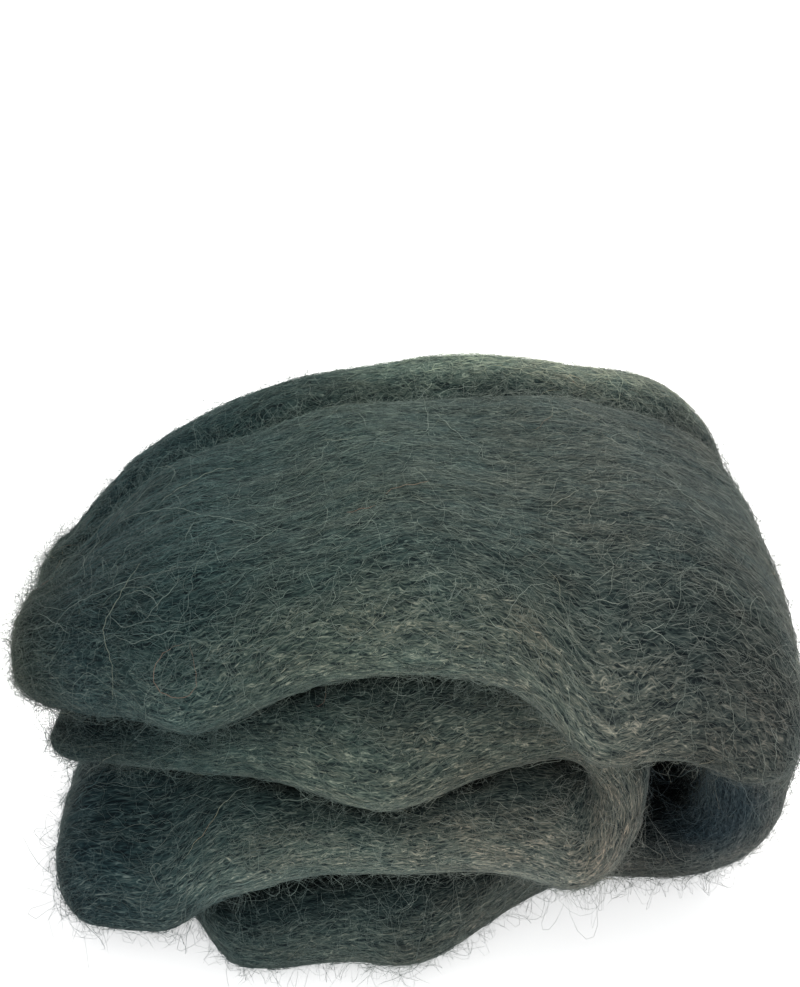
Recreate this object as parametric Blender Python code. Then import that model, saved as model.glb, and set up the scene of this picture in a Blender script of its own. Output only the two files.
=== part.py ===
"""Hank of combed wool roving: one thick soft strand, folded back and forth over itself.

Units are metres, +Z is up. The origin is on the floor under the middle of the hank.
+X runs along the folds, towards the open loop, and -Y is the front, where the folds show.
The strand is one loft: a flat rounded section is carried along a path of four layers.
"""

import math

import bpy
import numpy as np

MM = 0.001

# Driving dimensions of the strand
EDGE_SHARE = 0.62               # how far each edge of the strand is rounded, in thicknesses
EDGE_POWER = 2.2                # 2 is an elliptic edge, more is fuller
LIP_START_Y = 5.0 * MM          # a front edge sags from here
LIP_FULL_Y = -30.0 * MM         # and has sagged by the table's lip here
LIP_POWER = 3.0
END_LENGTH = 10.0 * MM          # how far a rounded end of the strand runs past its last section
END_STEPS = 5
END_NARROWING = 0.22            # of the width, lost over a rounded end
SMALLEST_SHARE = 0.15           # of the thickness, left in the very last ring of an end
STATION_PITCH = 6.4 * MM        # spacing of the loft's sections on a straight stretch
STATION_TURN = math.radians(18) # and their spacing in a fold
RING_POINTS = 36                # points round one section

# Furrow along the top, in front of the rearmost ridge of fibres
FURROW_DEPTH = 5.0 * MM
FURROW_FROM_BACK = 20.0 * MM
FURROW_WIDTH = 6.5 * MM
FURROW_ROW = 4.0                # row of the strand's table at its middle
FURROW_ROWS = 3.6               # and how many rows it reaches either way

# Slow unevenness of hand-folded wool
SWAY_SIZE = 0.8 * MM
SWAY_LENGTH = 74.0 * MM
SWAY_FULL_HEIGHT = 20.0 * MM    # it fades to nothing from here down to the floor
FLATTENING = 0.5 * MM           # how much of the underside is pressed flat

WOOL_COLOUR = (0.048, 0.068, 0.064, 1.0)
WOOL_ROUGHNESS = 0.92

# The strand from its upper end to its lower end, in millimetres and degrees. x and z are the
# middle of the strand, turn is the way it runs (0 to +X, -90 down, -180 to -X), thick is its
# thickness, front and back are the Y of its two edges, and lip is how far the front edge sags.
COLUMNS = ("place", "x", "z", "turn", "thick", "front", "back", "lip")
STRAND = (
    ("top, left end",        -64.0,   50.0,   26.0,   21.0,  -17.0,   26.0,   20.0),
    ("top, left",            -50.0,   56.6,   22.0,   21.5,  -23.0,   46.0,   13.0),
    ("top, dip",             -36.0,   61.6,   13.0,   22.0,  -28.0,   59.0,   13.0),
    ("top, crown",             0.0,   68.0,    7.0,   20.5,  -25.0,   64.0,    7.0),
    ("top, bend",             20.0,   69.3,   -1.0,   20.5,  -27.5,   64.6,   12.0),
    ("top, right",            38.0,   67.5,  -12.0,   21.0,  -30.0,   65.0,   24.5),
    ("shoulder",              62.3,   57.6,  -50.0,   19.0,  -30.0,   63.0,   17.0),
    ("loop, right side",      66.7,   31.0,  -90.0,   14.5,  -28.0,   58.0,    4.0),
    ("loop, foot",            57.0,   10.9, -152.0,   12.6,  -28.5,   56.0,    0.0),
    ("floor, right",          39.0,    6.4, -180.0,   12.8,  -24.0,   57.0,    0.0),
    ("floor, middle",        -3.0,    7.6, -180.0,   15.2,  -45.5,   60.0,    0.0),
    ("floor, left",          -31.0,    5.9, -180.0,   11.8,  -43.0,   61.0,    0.0),
    ("floor, under fold",    -47.0,    5.3, -180.0,   10.6,  -27.0,   60.0,    0.0),
    ("left fold",            -57.1,   15.4, -270.0,   17.4,  -37.5,   57.0,    4.5),
    ("second, left",         -46.0,   25.5, -360.0,   18.0,  -41.0,   57.0,    7.6),
    ("second, inner left",   -31.5,   25.5, -360.0,   19.0,  -38.5,   58.0,    2.2),
    ("second, middle",        0.0,   22.8, -360.0,   12.8,  -36.0,   61.0,    0.0),
    ("second, right",         30.0,   26.0, -360.0,   19.8,  -36.0,   57.0,    3.2),
    ("inner fold",            42.0,   35.8, -270.0,   11.5,  -29.0,   51.0,    6.1),
    ("third, right",          30.0,   46.4, -180.0,   13.8,  -23.0,   53.0,   14.0),
    ("third, middle",         -3.0,   44.5, -180.0,   22.0,  -33.0,   60.0,    4.8),
    ("third, left",          -36.0,   42.0, -178.0,    9.0,  -28.0,   58.0,    3.1),
    ("third, left end",      -57.0,   36.6, -167.0,    5.8,  -22.0,   52.0,    2.3),
)


def strand_columns():
    """Give each column of the strand's table as an array, in metres and radians."""
    columns = {}
    for index, name in enumerate(COLUMNS):
        if name == "place":
            continue
        unit = math.radians(1.0) if name == "turn" else MM
        columns[name] = np.array([row[index] for row in STRAND]) * unit
    return columns


def eased(values, u):
    """Read a column between its rows: smooth, and level at a row where it peaks."""
    rows = np.arange(len(values))
    slopes = np.gradient(values)
    steps = np.diff(values)
    for row in range(1, len(values) - 1):
        if steps[row - 1] * steps[row] <= 0.0:
            slopes[row] = 0.0
    low = np.clip(np.floor(u).astype(int), 0, len(values) - 2)
    t = u - rows[low]
    return (
        values[low] * (2 * t**3 - 3 * t**2 + 1)
        + slopes[low] * (t**3 - 2 * t**2 + t)
        + values[low + 1] * (3 * t**2 - 2 * t**3)
        + slopes[low + 1] * (t**3 - t**2)
    )


def middle_line(columns, u):
    """Give x and z of the strand's middle, as arcs that leave each row along its turn."""
    x = columns["x"]
    z = columns["z"]
    turn = columns["turn"]
    low = np.clip(np.floor(u).astype(int), 0, len(x) - 2)
    t = u - low
    reach = np.hypot(x[low + 1] - x[low], z[low + 1] - z[low])
    bend = np.maximum(np.abs(turn[low + 1] - turn[low]), 1e-4)
    pull = reach * 2 * np.tan(bend / 4) / np.sin(bend / 2)
    blend_start = 2 * t**3 - 3 * t**2 + 1
    blend_end = 1 - blend_start
    pull_start = (t**3 - 2 * t**2 + t) * pull
    pull_end = (t**3 - t**2) * pull
    line_x = (
        x[low] * blend_start + x[low + 1] * blend_end
        + np.cos(turn[low]) * pull_start + np.cos(turn[low + 1]) * pull_end
    )
    line_z = (
        z[low] * blend_start + z[low + 1] * blend_end
        + np.sin(turn[low]) * pull_start + np.sin(turn[low + 1]) * pull_end
    )
    return line_x, line_z


def stations(columns):
    """Place the loft's sections evenly, by the length and the turning between them."""
    fine = np.linspace(0, len(STRAND) - 1, 4001)
    x, z = middle_line(columns, fine)
    heading = np.unwrap(np.arctan2(np.gradient(z), np.gradient(x)))
    length = np.hypot(np.diff(x), np.diff(z))
    turning = np.abs(np.diff(heading))
    measure = np.concatenate(([0.0], np.cumsum(length / STATION_PITCH + turning / STATION_TURN)))
    count = int(round(measure[-1])) + 1
    return np.interp(np.linspace(0, measure[-1], count), measure, fine)


def ring(columns, u, shrink, advance):
    """Give one section's points, its thickness times shrink, moved on by advance."""
    x, z = middle_line(columns, np.array([u - 1e-4, u, u + 1e-4]))
    run = math.hypot(x[2] - x[0], z[2] - z[0])
    along_x = (x[2] - x[0]) / run
    along_z = (z[2] - z[0]) / run
    here = {name: float(eased(values, np.array([u]))[0]) for name, values in columns.items()}

    angle = np.arange(RING_POINTS) * 2 * math.pi / RING_POINTS
    half_width = (here["back"] - here["front"]) / 2 * (1 - END_NARROWING * (1 - shrink))
    across = half_width * np.cos(angle)
    y = (here["front"] + here["back"]) / 2 + across
    edge = EDGE_SHARE * here["thick"]
    into_edge = np.clip((np.abs(across) - half_width + edge) / edge, 0, 1)
    fullness = (1 - into_edge**EDGE_POWER) ** (1 / EDGE_POWER)
    offset = np.sign(np.sin(angle)) * fullness * here["thick"] / 2 * shrink

    along_furrow = math.exp(-(((u - FURROW_ROW) / FURROW_ROWS) ** 4))
    across_furrow = (here["back"] - FURROW_FROM_BACK - y) / FURROW_WIDTH
    furrow = FURROW_DEPTH * along_furrow * np.exp(-(across_furrow**2))
    offset = offset - np.where(np.sin(angle) > 0, furrow, 0.0)
    into_lip = np.clip((LIP_START_Y - y) / (LIP_START_Y - LIP_FULL_Y), 0, None)
    sag = here["lip"] * into_lip**LIP_POWER

    points = np.empty((RING_POINTS, 3))
    points[:, 0] = x[1] + along_x * advance - along_z * offset
    points[:, 1] = y
    points[:, 2] = z[1] + along_z * advance + along_x * offset - sag
    return points


def swayed(points):
    """Move points a little, by slow waves that leave the layers apart, and flatten the underside."""
    wave = 2 * math.pi / SWAY_LENGTH
    x, y, z = points[:, 0].copy(), points[:, 1].copy(), points[:, 2].copy()
    lift = np.clip(z / SWAY_FULL_HEIGHT, 0, 1)
    points[:, 0] = x + SWAY_SIZE * np.sin(wave * y + 0.7) * lift
    points[:, 1] = y + SWAY_SIZE * (1.6 * np.sin(wave * 1.3 * x + 2.1) + np.sin(wave * 2 * z + 0.4))
    points[:, 2] = z + SWAY_SIZE * np.sin(wave * (1.7 * x + 0.8 * y) + 1.2) * lift
    points[:, 2] = np.maximum(points[:, 2] - FLATTENING, 0.0)
    return points


def strand_rings():
    """Give all rings of the strand, with its two rounded ends, centred over the origin."""
    columns = strand_columns()
    rings = []
    last = float(len(STRAND) - 1)
    for step in range(END_STEPS, 0, -1):
        share = step / END_STEPS
        shrink = max(math.sqrt(1 - share**2), SMALLEST_SHARE)
        rings.append(ring(columns, 0.0, shrink, -END_LENGTH * share))
    for u in stations(columns):
        rings.append(ring(columns, float(u), 1.0, 0.0))
    for step in range(1, END_STEPS + 1):
        share = step / END_STEPS
        shrink = max(math.sqrt(1 - share**2), SMALLEST_SHARE)
        rings.append(ring(columns, last, shrink, END_LENGTH * share))
    points = np.array([swayed(ring_points) for ring_points in rings])
    low = points.min(axis=(0, 1))
    high = points.max(axis=(0, 1))
    points[:, :, :2] -= (low[:2] + high[:2]) / 2
    return points


def loft(rings):
    """Join the rings by quads, and zip each end shut across its thickness."""
    vertices = rings.reshape(-1, 3)
    faces = []
    for row in range(len(rings) - 1):
        start = row * RING_POINTS
        for place in range(RING_POINTS):
            after = (place + 1) % RING_POINTS
            faces.append((
                start + place,
                start + after,
                start + RING_POINTS + after,
                start + RING_POINTS + place,
            ))
    end = (len(rings) - 1) * RING_POINTS
    for upper in range(RING_POINTS // 2):
        lower = -upper % RING_POINTS
        corners = [upper, lower, RING_POINTS - upper - 1, upper + 1]
        corners = list(dict.fromkeys(corners))
        faces.append(corners)
        faces.append([end + corner for corner in reversed(corners)])
    return vertices, faces


def wool_material():
    """Make the plain dyed wool of the hank."""
    material = bpy.data.materials.new("charcoal_green_wool")
    material.use_nodes = True
    shader = material.node_tree.nodes["Principled BSDF"]
    shader.inputs["Base Color"].default_value = WOOL_COLOUR
    shader.inputs["Roughness"].default_value = WOOL_ROUGHNESS
    shader.inputs["Metallic"].default_value = 0.0
    return material


def make_hank():
    """Build the hank in a collection of its own."""
    collection = bpy.data.collections.new("wool_roving")
    bpy.context.scene.collection.children.link(collection)
    vertices, faces = loft(strand_rings())
    mesh = bpy.data.meshes.new("roving_hank")
    mesh.from_pydata(vertices.tolist(), [], faces)
    mesh.materials.append(wool_material())
    mesh.shade_smooth()
    mesh.update()
    hank = bpy.data.objects.new("roving_hank", mesh)
    collection.objects.link(hank)
    return hank


for item in list(bpy.data.objects):
    bpy.data.objects.remove(item, do_unlink=True)
make_hank()
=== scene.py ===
# Looks of a hank of combed wool roving: the folded strand, its crimped fibres, stray curls and fuzz
import math
import bpy
import numpy as np
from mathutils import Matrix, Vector
from mathutils.bvhtree import BVHTree


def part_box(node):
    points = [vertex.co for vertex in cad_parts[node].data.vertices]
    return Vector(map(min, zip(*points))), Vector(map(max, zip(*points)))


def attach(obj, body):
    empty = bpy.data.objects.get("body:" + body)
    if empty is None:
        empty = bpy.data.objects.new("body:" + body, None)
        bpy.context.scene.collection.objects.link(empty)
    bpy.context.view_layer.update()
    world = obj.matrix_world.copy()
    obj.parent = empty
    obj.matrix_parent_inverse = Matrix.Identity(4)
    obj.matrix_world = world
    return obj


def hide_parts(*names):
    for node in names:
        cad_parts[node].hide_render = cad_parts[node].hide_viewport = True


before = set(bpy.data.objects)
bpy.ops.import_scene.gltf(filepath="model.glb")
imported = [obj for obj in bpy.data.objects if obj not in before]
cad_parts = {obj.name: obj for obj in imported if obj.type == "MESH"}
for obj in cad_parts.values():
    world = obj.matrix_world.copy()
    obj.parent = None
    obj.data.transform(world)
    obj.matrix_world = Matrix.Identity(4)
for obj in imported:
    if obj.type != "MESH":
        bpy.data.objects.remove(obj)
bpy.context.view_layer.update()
mm = 0.001
tiny = 1e-4
fullTurn = 6.283          # radians, for random phases
body = "root"
hankNode = "roving_hank"


def newObject(name, data):
    # an object in the scene that shows the data
    made = bpy.data.objects.new(name, data)
    bpy.context.scene.collection.objects.link(made)
    return made


# the camera stands in front of the hank and looks down on it, as in the photo
cameraView = {
    "place": (-1.1 * mm, -193.8 * mm, 198.5 * mm),
    "pitch": 33.0,      # degrees below level
    "focalPixels": 1200.0,
    "framePixels": 800.0,
    "sensor": 36.0,
    "clipStart": 10 * mm,
}


def makeCamera(spec):
    # the focal length follows from the focal distance in pixels and the frame's width
    data = bpy.data.cameras.new("photoCamera")
    data.sensor_fit = "HORIZONTAL"
    data.sensor_width = spec["sensor"]
    data.lens = spec["sensor"] * spec["focalPixels"] / spec["framePixels"]
    data.clip_start = spec["clipStart"]
    camera = newObject("photoCamera", data)
    camera.location = spec["place"]
    camera.rotation_euler = (math.radians(90.0 - spec["pitch"]), 0.0, 0.0)
    bpy.context.scene.camera = camera


# the strand: x and z of its middle, the way it runs, its thickness, its two edges, and its front edge's sag
strand = {
    "columns": ("x", "z", "turn", "thick", "front", "back", "lip"),
    "rows": (           # place, then the columns in millimetres and degrees
        ("top, left end",      -64.0, 50.0,   26.0, 21.0, -17.0, 26.0, 20.0),
        ("top, left",          -50.0, 56.6,   22.0, 21.5, -23.0, 46.0, 13.0),
        ("top, dip",           -36.0, 61.6,   13.0, 22.0, -28.0, 59.0, 13.0),
        ("top, crown",           0.0, 68.0,    7.0, 20.5, -25.0, 64.0,  7.0),
        ("top, bend",           20.0, 69.3,   -1.0, 20.5, -27.5, 64.6, 12.0),
        ("top, right",          38.0, 67.5,  -12.0, 21.0, -30.0, 65.0, 24.5),
        ("shoulder",            62.3, 57.6,  -50.0, 19.0, -30.0, 63.0, 17.0),
        ("loop, right side",    66.7, 31.0,  -90.0, 14.5, -28.0, 58.0,  4.0),
        ("loop, foot",          57.0, 10.9, -152.0, 12.6, -28.5, 56.0,  0.0),
        ("floor, right",        39.0,  6.4, -180.0, 12.8, -24.0, 57.0,  0.0),
        ("floor, middle",       -3.0,  7.6, -180.0, 15.2, -45.5, 60.0,  0.0),
        ("floor, left",        -31.0,  5.9, -180.0, 11.8, -43.0, 61.0,  0.0),
        ("floor, under fold",  -47.0,  5.3, -180.0, 10.6, -27.0, 60.0,  0.0),
        ("left fold",          -57.1, 15.4, -270.0, 17.4, -37.5, 57.0,  4.5),
        ("second, left",       -46.0, 25.5, -360.0, 18.0, -41.0, 57.0,  7.6),
        ("second, inner left", -31.5, 25.5, -360.0, 19.0, -38.5, 58.0,  2.2),
        ("second, middle",       0.0, 22.8, -360.0, 12.8, -36.0, 61.0,  0.0),
        ("second, right",       30.0, 26.0, -360.0, 19.8, -36.0, 57.0,  3.2),
        ("inner fold",          42.0, 35.8, -270.0, 11.5, -29.0, 51.0,  6.1),
        ("third, right",        30.0, 46.4, -180.0, 13.8, -23.0, 53.0, 14.0),
        ("third, middle",       -3.0, 44.5, -180.0, 22.0, -33.0, 60.0,  4.8),
        ("third, left",        -36.0, 42.0, -178.0,  9.0, -28.0, 58.0,  3.1),
        ("third, left end",    -57.0, 36.6, -167.0,  5.8, -22.0, 52.0,  2.3),
    ),
    "edgeShare": 0.62,  # edge rounding, in thicknesses
    "edgePower": 2.2,
    "lipFrom": 5.0 * mm,
    "lipTo": -30.0 * mm,
    "lipPower": 3.0,
    "endLength": 10.0 * mm,
    "endSteps": 9,
    "endNarrowing": 0.22,
    "endShare": 0.15,
    "furrowDepth": 6.8 * mm,  # the groove in front of the rearmost ridge of the top
    "furrowFromBack": 20.0 * mm,
    "furrowWidth": 3.3 * mm,
    "furrowPower": 1.6,
    "furrowRow": 4.0,   # row of its middle, and how many rows it reaches
    "furrowRows": 3.6,
    "outerFade": 0.25,  # how soon the strand's outer side counts in full
    "sway": 0.8 * mm,
    "swayLength": 74.0 * mm,
    "swayHeight": 20.0 * mm,
    "sways": (          # axis that moves, size, waves along x, y and z, phase
        (0, 1.0, (0.0, 1.0, 0.0), 0.7),
        (1, 1.6, (1.3, 0.0, 0.0), 2.1),
        (1, 1.0, (0.0, 0.0, 2.0), 0.4),
        (2, 1.0, (1.7, 0.8, 0.0), 1.2)),
    "flattening": 0.5 * mm,
    "fineSteps": 6001,  # fine points of the middle line and of the usual section
    "fineRing": 4001,
    "stations": 322,
    "ringPoints": 124,
    "turnWeight": math.radians(18.0),  # a turn this large counts as one pitch of length
    "pitch": 6.4 * mm,
    "usualHalfWidth": 45.0 * mm,  # section on which the points are spread evenly
    "usualThickness": 17.0 * mm,
    "ropes": (          # wavelength across, wavelength along, height, in millimetres
        (13.0, 190.0, 0.16), (7.7, -130.0, 0.15), (5.3, 90.0, 0.13), (4.1, -75.0, 0.11), (3.3, 60.0, 0.09)),
    "ropeWander": (     # size, length in millimetres, and shift from one rope to the next
        (1.1, 31.0, 2.1), (0.7, 17.0, 1.0)),
    "ropeSides": 1.3,   # shift between the strand's two sides
    "ropeSwell": (0.35, 23.0, 11.0, 1.7),  # share, lengths along and across, and shift from rope to rope
    "topRopes": 1.3,    # how much stronger the ropes are on the open top
    "topRows": 7.2,     # rows over which the top reaches
    "edgeWaves": (      # how the edges wander: size and length in millimetres, shift
        (1.0, 9.0, 0.0), (0.7, 5.3, 1.0)),
}


def unit(vectors):
    # vectors of length 1 that point the same way
    return vectors / np.maximum(np.linalg.norm(vectors, axis=-1, keepdims=True), 1e-12)


def between(values, start, end):
    # share of the way from start to end, kept between 0 and 1
    return np.clip((values - start) / (end - start), 0, 1)


def waves(distance, table, number=1):
    # sum of sines, each with its size, its length in millimetres and its shift for each number
    return sum(size * np.sin(distance / (long * mm) + shift * number) for size, long, shift in table)


def strandColumns(spec):
    # the table's columns in metres and radians
    columns = {}
    for place, name in enumerate(spec["columns"]):
        scale = math.radians(1.0) if name == "turn" else mm
        columns[name] = np.array([row[place + 1] for row in spec["rows"]]) * scale
    return columns


def summed(steps):
    # running sum that starts at 0
    return np.concatenate(([0.0], np.cumsum(steps)))


def cubic(t):
    # what a cubic takes of its first value and of its slopes at both ends
    return 2 * t**3 - 3 * t**2 + 1, t**3 - 2 * t**2 + t, t**3 - t**2


def eased(values, u):
    # cubic between rows, with a level slope where a row is a peak or a dip
    slopes = np.gradient(values)
    steps = np.diff(values)
    slopes[np.flatnonzero(steps[:-1] * steps[1:] <= 0.0) + 1] = 0.0
    low = np.clip(np.floor(u).astype(int), 0, len(values) - 2)
    keep, leave, arrive = cubic(u - low)
    return values[low] * keep + values[low + 1] * (1 - keep) + slopes[low] * leave + slopes[low + 1] * arrive


def middleLine(columns, u):
    # arcs between rows, each leaving its row along the row's turn
    x, z, turn = columns["x"], columns["z"], columns["turn"]
    low = np.clip(np.floor(u).astype(int), 0, len(x) - 2)
    keep, leave, arrive = cubic(u - low)
    reach = np.hypot(x[low + 1] - x[low], z[low + 1] - z[low])
    bend = np.maximum(np.abs(turn[low + 1] - turn[low]), tiny)
    pull = reach * 2 * np.tan(bend / 4) / np.sin(bend / 2)
    return tuple(
        place[low] * keep + place[low + 1] * (1 - keep)
        + (way(turn[low]) * leave + way(turn[low + 1]) * arrive) * pull
        for place, way in ((x, np.cos), (z, np.sin)))


def edgeFullness(across, halfWidth, thick, spec):
    # 1 over the flat of the section, falling to 0 at its edge along a superellipse
    edge = spec["edgeShare"] * thick
    intoEdge = np.clip((np.abs(across) - halfWidth + edge) / edge, 0, 1)
    return (1 - intoEdge ** spec["edgePower"]) ** (1 / spec["edgePower"]), intoEdge


def ringAngles(spec):
    # angles that space the points evenly round the usual section
    fine = np.linspace(0, 2 * math.pi, spec["fineRing"])
    halfWidth, thick = spec["usualHalfWidth"], spec["usualThickness"]
    across = halfWidth * np.cos(fine)
    fullness, _ = edgeFullness(across, halfWidth, thick, spec)
    offset = np.sign(np.sin(fine)) * fullness * thick / 2
    run = summed(np.hypot(np.diff(across), np.diff(offset)))
    return np.interp(np.arange(spec["ringPoints"]) / spec["ringPoints"] * run[-1], run, fine), run[-1]


def strandGrid(spec):
    # rounded flat sections carried along the folded path; one row of points for each section
    columns = strandColumns(spec)
    last = len(spec["rows"]) - 1.0
    fine = np.linspace(0, last, spec["fineSteps"])
    x, z = middleLine(columns, fine)
    heading = np.unwrap(np.arctan2(np.gradient(z), np.gradient(x)))
    length = summed(np.hypot(np.diff(x), np.diff(z)))
    turning = summed(np.abs(np.diff(heading)))
    measure = length / spec["pitch"] + turning / spec["turnWeight"]
    u = np.interp(np.linspace(0, measure[-1], spec["stations"]), measure, fine)

    share = np.linspace(1.0, 0.0, spec["endSteps"], endpoint=False)
    u = np.concatenate((np.zeros(len(share)), u, np.full(len(share), last)))
    shrink = np.concatenate((np.sqrt(1 - share**2), np.ones(spec["stations"]), np.sqrt(1 - share[::-1] ** 2)))
    shrink = np.maximum(shrink, spec["endShare"])
    advance = np.concatenate((-share, np.zeros(spec["stations"]), share[::-1])) * spec["endLength"]

    x, z = middleLine(columns, u)
    beforeX, beforeZ = middleLine(columns, np.clip(u - tiny, 0, last))
    afterX, afterZ = middleLine(columns, np.clip(u + tiny, 0, last))
    run = np.hypot(afterX - beforeX, afterZ - beforeZ)
    alongX = ((afterX - beforeX) / run)[:, None]
    alongZ = ((afterZ - beforeZ) / run)[:, None]
    here = {name: eased(values, u)[:, None] for name, values in columns.items()}
    distance = (np.interp(u, fine, length) + advance)[:, None]

    angle, girth = ringAngles(spec)
    angle = angle[None, :]
    halfWidth = (here["back"] - here["front"]) / 2 * (1 - spec["endNarrowing"] * (1 - shrink[:, None]))
    across = halfWidth * np.cos(angle)
    y = (here["front"] + here["back"]) / 2 + across
    fullness, intoEdge = edgeFullness(across, halfWidth, here["thick"], spec)
    offset = np.sign(np.sin(angle)) * fullness * here["thick"] / 2 * shrink[:, None]

    # the furrow: a bell across the strand, level along the top and gone before its ends
    alongFurrow = np.exp(-(((u - spec["furrowRow"]) / spec["furrowRows"]) ** 4))[:, None]
    acrossFurrow = (here["back"] - spec["furrowFromBack"] - y) / spec["furrowWidth"]
    outer = between(np.sin(angle), 0, spec["outerFade"])
    furrow = alongFurrow * np.exp(-np.abs(acrossFurrow) ** spec["furrowPower"])
    offset = offset - spec["furrowDepth"] * furrow * outer

    # soft ropes of fibres: waves across the strand that wander slowly along it
    lane = spec["usualHalfWidth"] * np.cos(angle)
    share, swellLong, swellWide, shift = spec["ropeSwell"]
    ropes = 0.0
    for number, (wide, long, high) in enumerate(spec["ropes"]):
        wander = waves(distance, spec["ropeWander"], number)
        wander = wander + spec["ropeSides"] * number * np.sign(np.sin(angle))
        swell = np.sin(distance / (swellLong * mm) + lane / (swellWide * mm) + shift * number)
        phase = 2 * math.pi * (lane / (wide * mm) + distance / (long * mm))
        ropes = ropes + high * mm * (1 - share + share * swell) * np.sin(phase + wander)
    onTop = np.exp(-((u / spec["topRows"]) ** 6))[:, None] * outer
    offset = offset + ropes * (1 + (spec["topRopes"] - 1) * onTop) * fullness * shrink[:, None]
    y = y + np.sign(np.cos(angle)) * intoEdge**2 * waves(distance, spec["edgeWaves"]) * mm

    intoLip = np.clip((spec["lipFrom"] - y) / (spec["lipFrom"] - spec["lipTo"]), 0, None)
    sag = here["lip"] * intoLip ** spec["lipPower"]
    points = np.stack((
        x[:, None] + alongX * advance[:, None] - alongZ * offset,
        y,
        z[:, None] + alongZ * advance[:, None] + alongX * offset - sag,
    ), axis=-1)
    # how far into the rounded edge each point is; it later masks the painted edge highlight
    rim = np.broadcast_to(intoEdge * shrink[:, None], points.shape[:2])
    return swayed(points, spec), distance, girth, rim


def swayed(points, spec):
    # slow waves leave the layers apart; the underside is pressed flat; then the box is centred on the solid's
    lift = between(points[..., 2], 0, spec["swayHeight"])
    moved = points.copy()
    for axis, size, turns, phase in spec["sways"]:
        angle = 2 * math.pi / spec["swayLength"] * (points @ np.array(turns)) + phase
        moved[..., axis] += spec["sway"] * size * np.sin(angle) * (1 if axis == 1 else lift)
    moved[..., 2] = np.maximum(moved[..., 2] - spec["flattening"], 0.0)
    low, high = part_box(hankNode)
    middle = (np.array(low) + np.array(high)) / 2
    own = (moved.min(axis=(0, 1)) + moved.max(axis=(0, 1))) / 2
    moved[..., :2] += (middle - own)[:2]
    return moved


def gridFrame(points):
    # outward normal, and the steps along and around the grid
    along = np.gradient(points, axis=0)
    around = (np.roll(points, -1, axis=1) - np.roll(points, 1, axis=1)) / 2
    return unit(np.cross(around, along)), along, around


def convexity(normals, along, around):
    # sum of the two bends of the surface, per metre, where it bulges outward
    bend = (np.gradient(normals, axis=0) * along).sum(axis=-1) / (along**2).sum(axis=-1)
    turned = (np.roll(normals, -1, axis=1) - np.roll(normals, 1, axis=1)) / 2
    bendAround = (turned * around).sum(axis=-1) / (around**2).sum(axis=-1)
    return np.clip(bend, 0, None) + np.clip(bendAround, 0, None)


def strandFaces(rows, ring):
    # quads between neighbouring rows of points, and a zipped strip that shuts each end
    row, place = np.meshgrid(np.arange(rows - 1), np.arange(ring), indexing="ij")
    after = (place + 1) % ring
    quads = np.stack((row * ring + place, row * ring + after,
                      (row + 1) * ring + after, (row + 1) * ring + place), axis=-1).reshape(-1, 4).tolist()
    end = (rows - 1) * ring
    for upper in range(ring // 2):
        corners = list(dict.fromkeys((upper, -upper % ring, ring - upper - 1, upper + 1)))
        quads.append(corners)
        quads.append([end + corner for corner in reversed(corners)])
    return quads


def gridRead(field, i, j):
    # value of a grid between its points; j goes round, i stops just before the last row
    rows, ring = field.shape[:2]
    i = np.clip(i, 0, rows - 1.001)
    low = np.floor(i).astype(int)
    around = np.floor(j).astype(int)
    fi = (i - low)[..., None]
    fj = (j - around)[..., None]
    a, b = around % ring, (around + 1) % ring
    return ((field[low, a] * (1 - fj) + field[low, b] * fj) * (1 - fi)
            + (field[low + 1, a] * (1 - fj) + field[low + 1, b] * fj) * fi)


# how open each place of the wool is to the room: crevices between layers get painted shade and hold no loose
# fibres
openSpec = {
    "rowStep": 3,       # every third row and every fourth point of a row is worked out
    "ringStep": 4,
    "rays": 24,
    "spin": 2.399963,   # turn from one ray to the next, in radians
    "near": 9 * mm,
    "far": 70 * mm,
    "nearShare": 0.65,  # how much painted shade a narrow groove gets too
    "lift": 0.5 * mm,
    "seed": 5,
}


def openness(points, normals, along, spec):
    # shares of rays, spread round the normal, that run freely to the near and to the far reach
    tree = BVHTree.FromPolygons(points.reshape(-1, 3).tolist(), strandFaces(*points.shape[:2]))
    rng = np.random.default_rng(spec["seed"])
    rows = np.unique(np.append(np.arange(0, len(points), spec["rowStep"]), len(points) - 1))
    places = points[rows, ::spec["ringStep"]]
    ways = normals[rows, ::spec["ringStep"]]
    first = unit(along[rows, ::spec["ringStep"]])
    second = np.cross(ways, first)
    lean = np.sqrt((np.arange(spec["rays"]) + 0.5) / spec["rays"])
    spin = np.arange(spec["rays"]) * spec["spin"] + rng.random() * fullTurn
    near = np.zeros(places.shape[:2])
    far = np.zeros(places.shape[:2])
    for i, j in np.ndindex(*places.shape[:2]):
        start = Vector(places[i, j] + ways[i, j] * spec["lift"])
        rays = (np.cos(spin)[:, None] * first[i, j] + np.sin(spin)[:, None] * second[i, j]) * lean[:, None]
        rays = rays + ways[i, j] * np.sqrt(1 - lean**2)[:, None]
        for ray in rays:
            hit = tree.ray_cast(start, Vector(ray), spec["far"])[3]
            if hit is None:
                far[i, j] += 1 / spec["rays"]
            if hit is None or hit > spec["near"]:
                near[i, j] += 1 / spec["rays"]
    row = np.interp(np.arange(len(points)), rows, np.arange(len(rows)))
    i, j = np.meshgrid(row, np.arange(points.shape[1]) / spec["ringStep"], indexing="ij")
    return gridRead(near[..., None], i, j)[..., 0], gridRead(far[..., None], i, j)[..., 0]


# painted highlights on edges besides the strand's thin ones: the folds' ends, and the back edge of the top's
# left half
edgeHighlights = {
    "shoulder": (36 * mm, 52 * mm),  # along X, where the thin edges grow less pale, and by how much
    "shoulderLoss": 0.35,
    "end": (0.70, 0.98),  # how far the wool faces left or right where a fold's end begins and is full
    "endPower": 1.5,
    "endPaleness": 0.65,
    "back": (0.40, 0.65),  # the same for facing back and up, and where that edge is along X
    "up": (0.25, 0.55),
    "left": (-6 * mm, -28 * mm),
    "backPaleness": 0.60,
}


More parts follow.
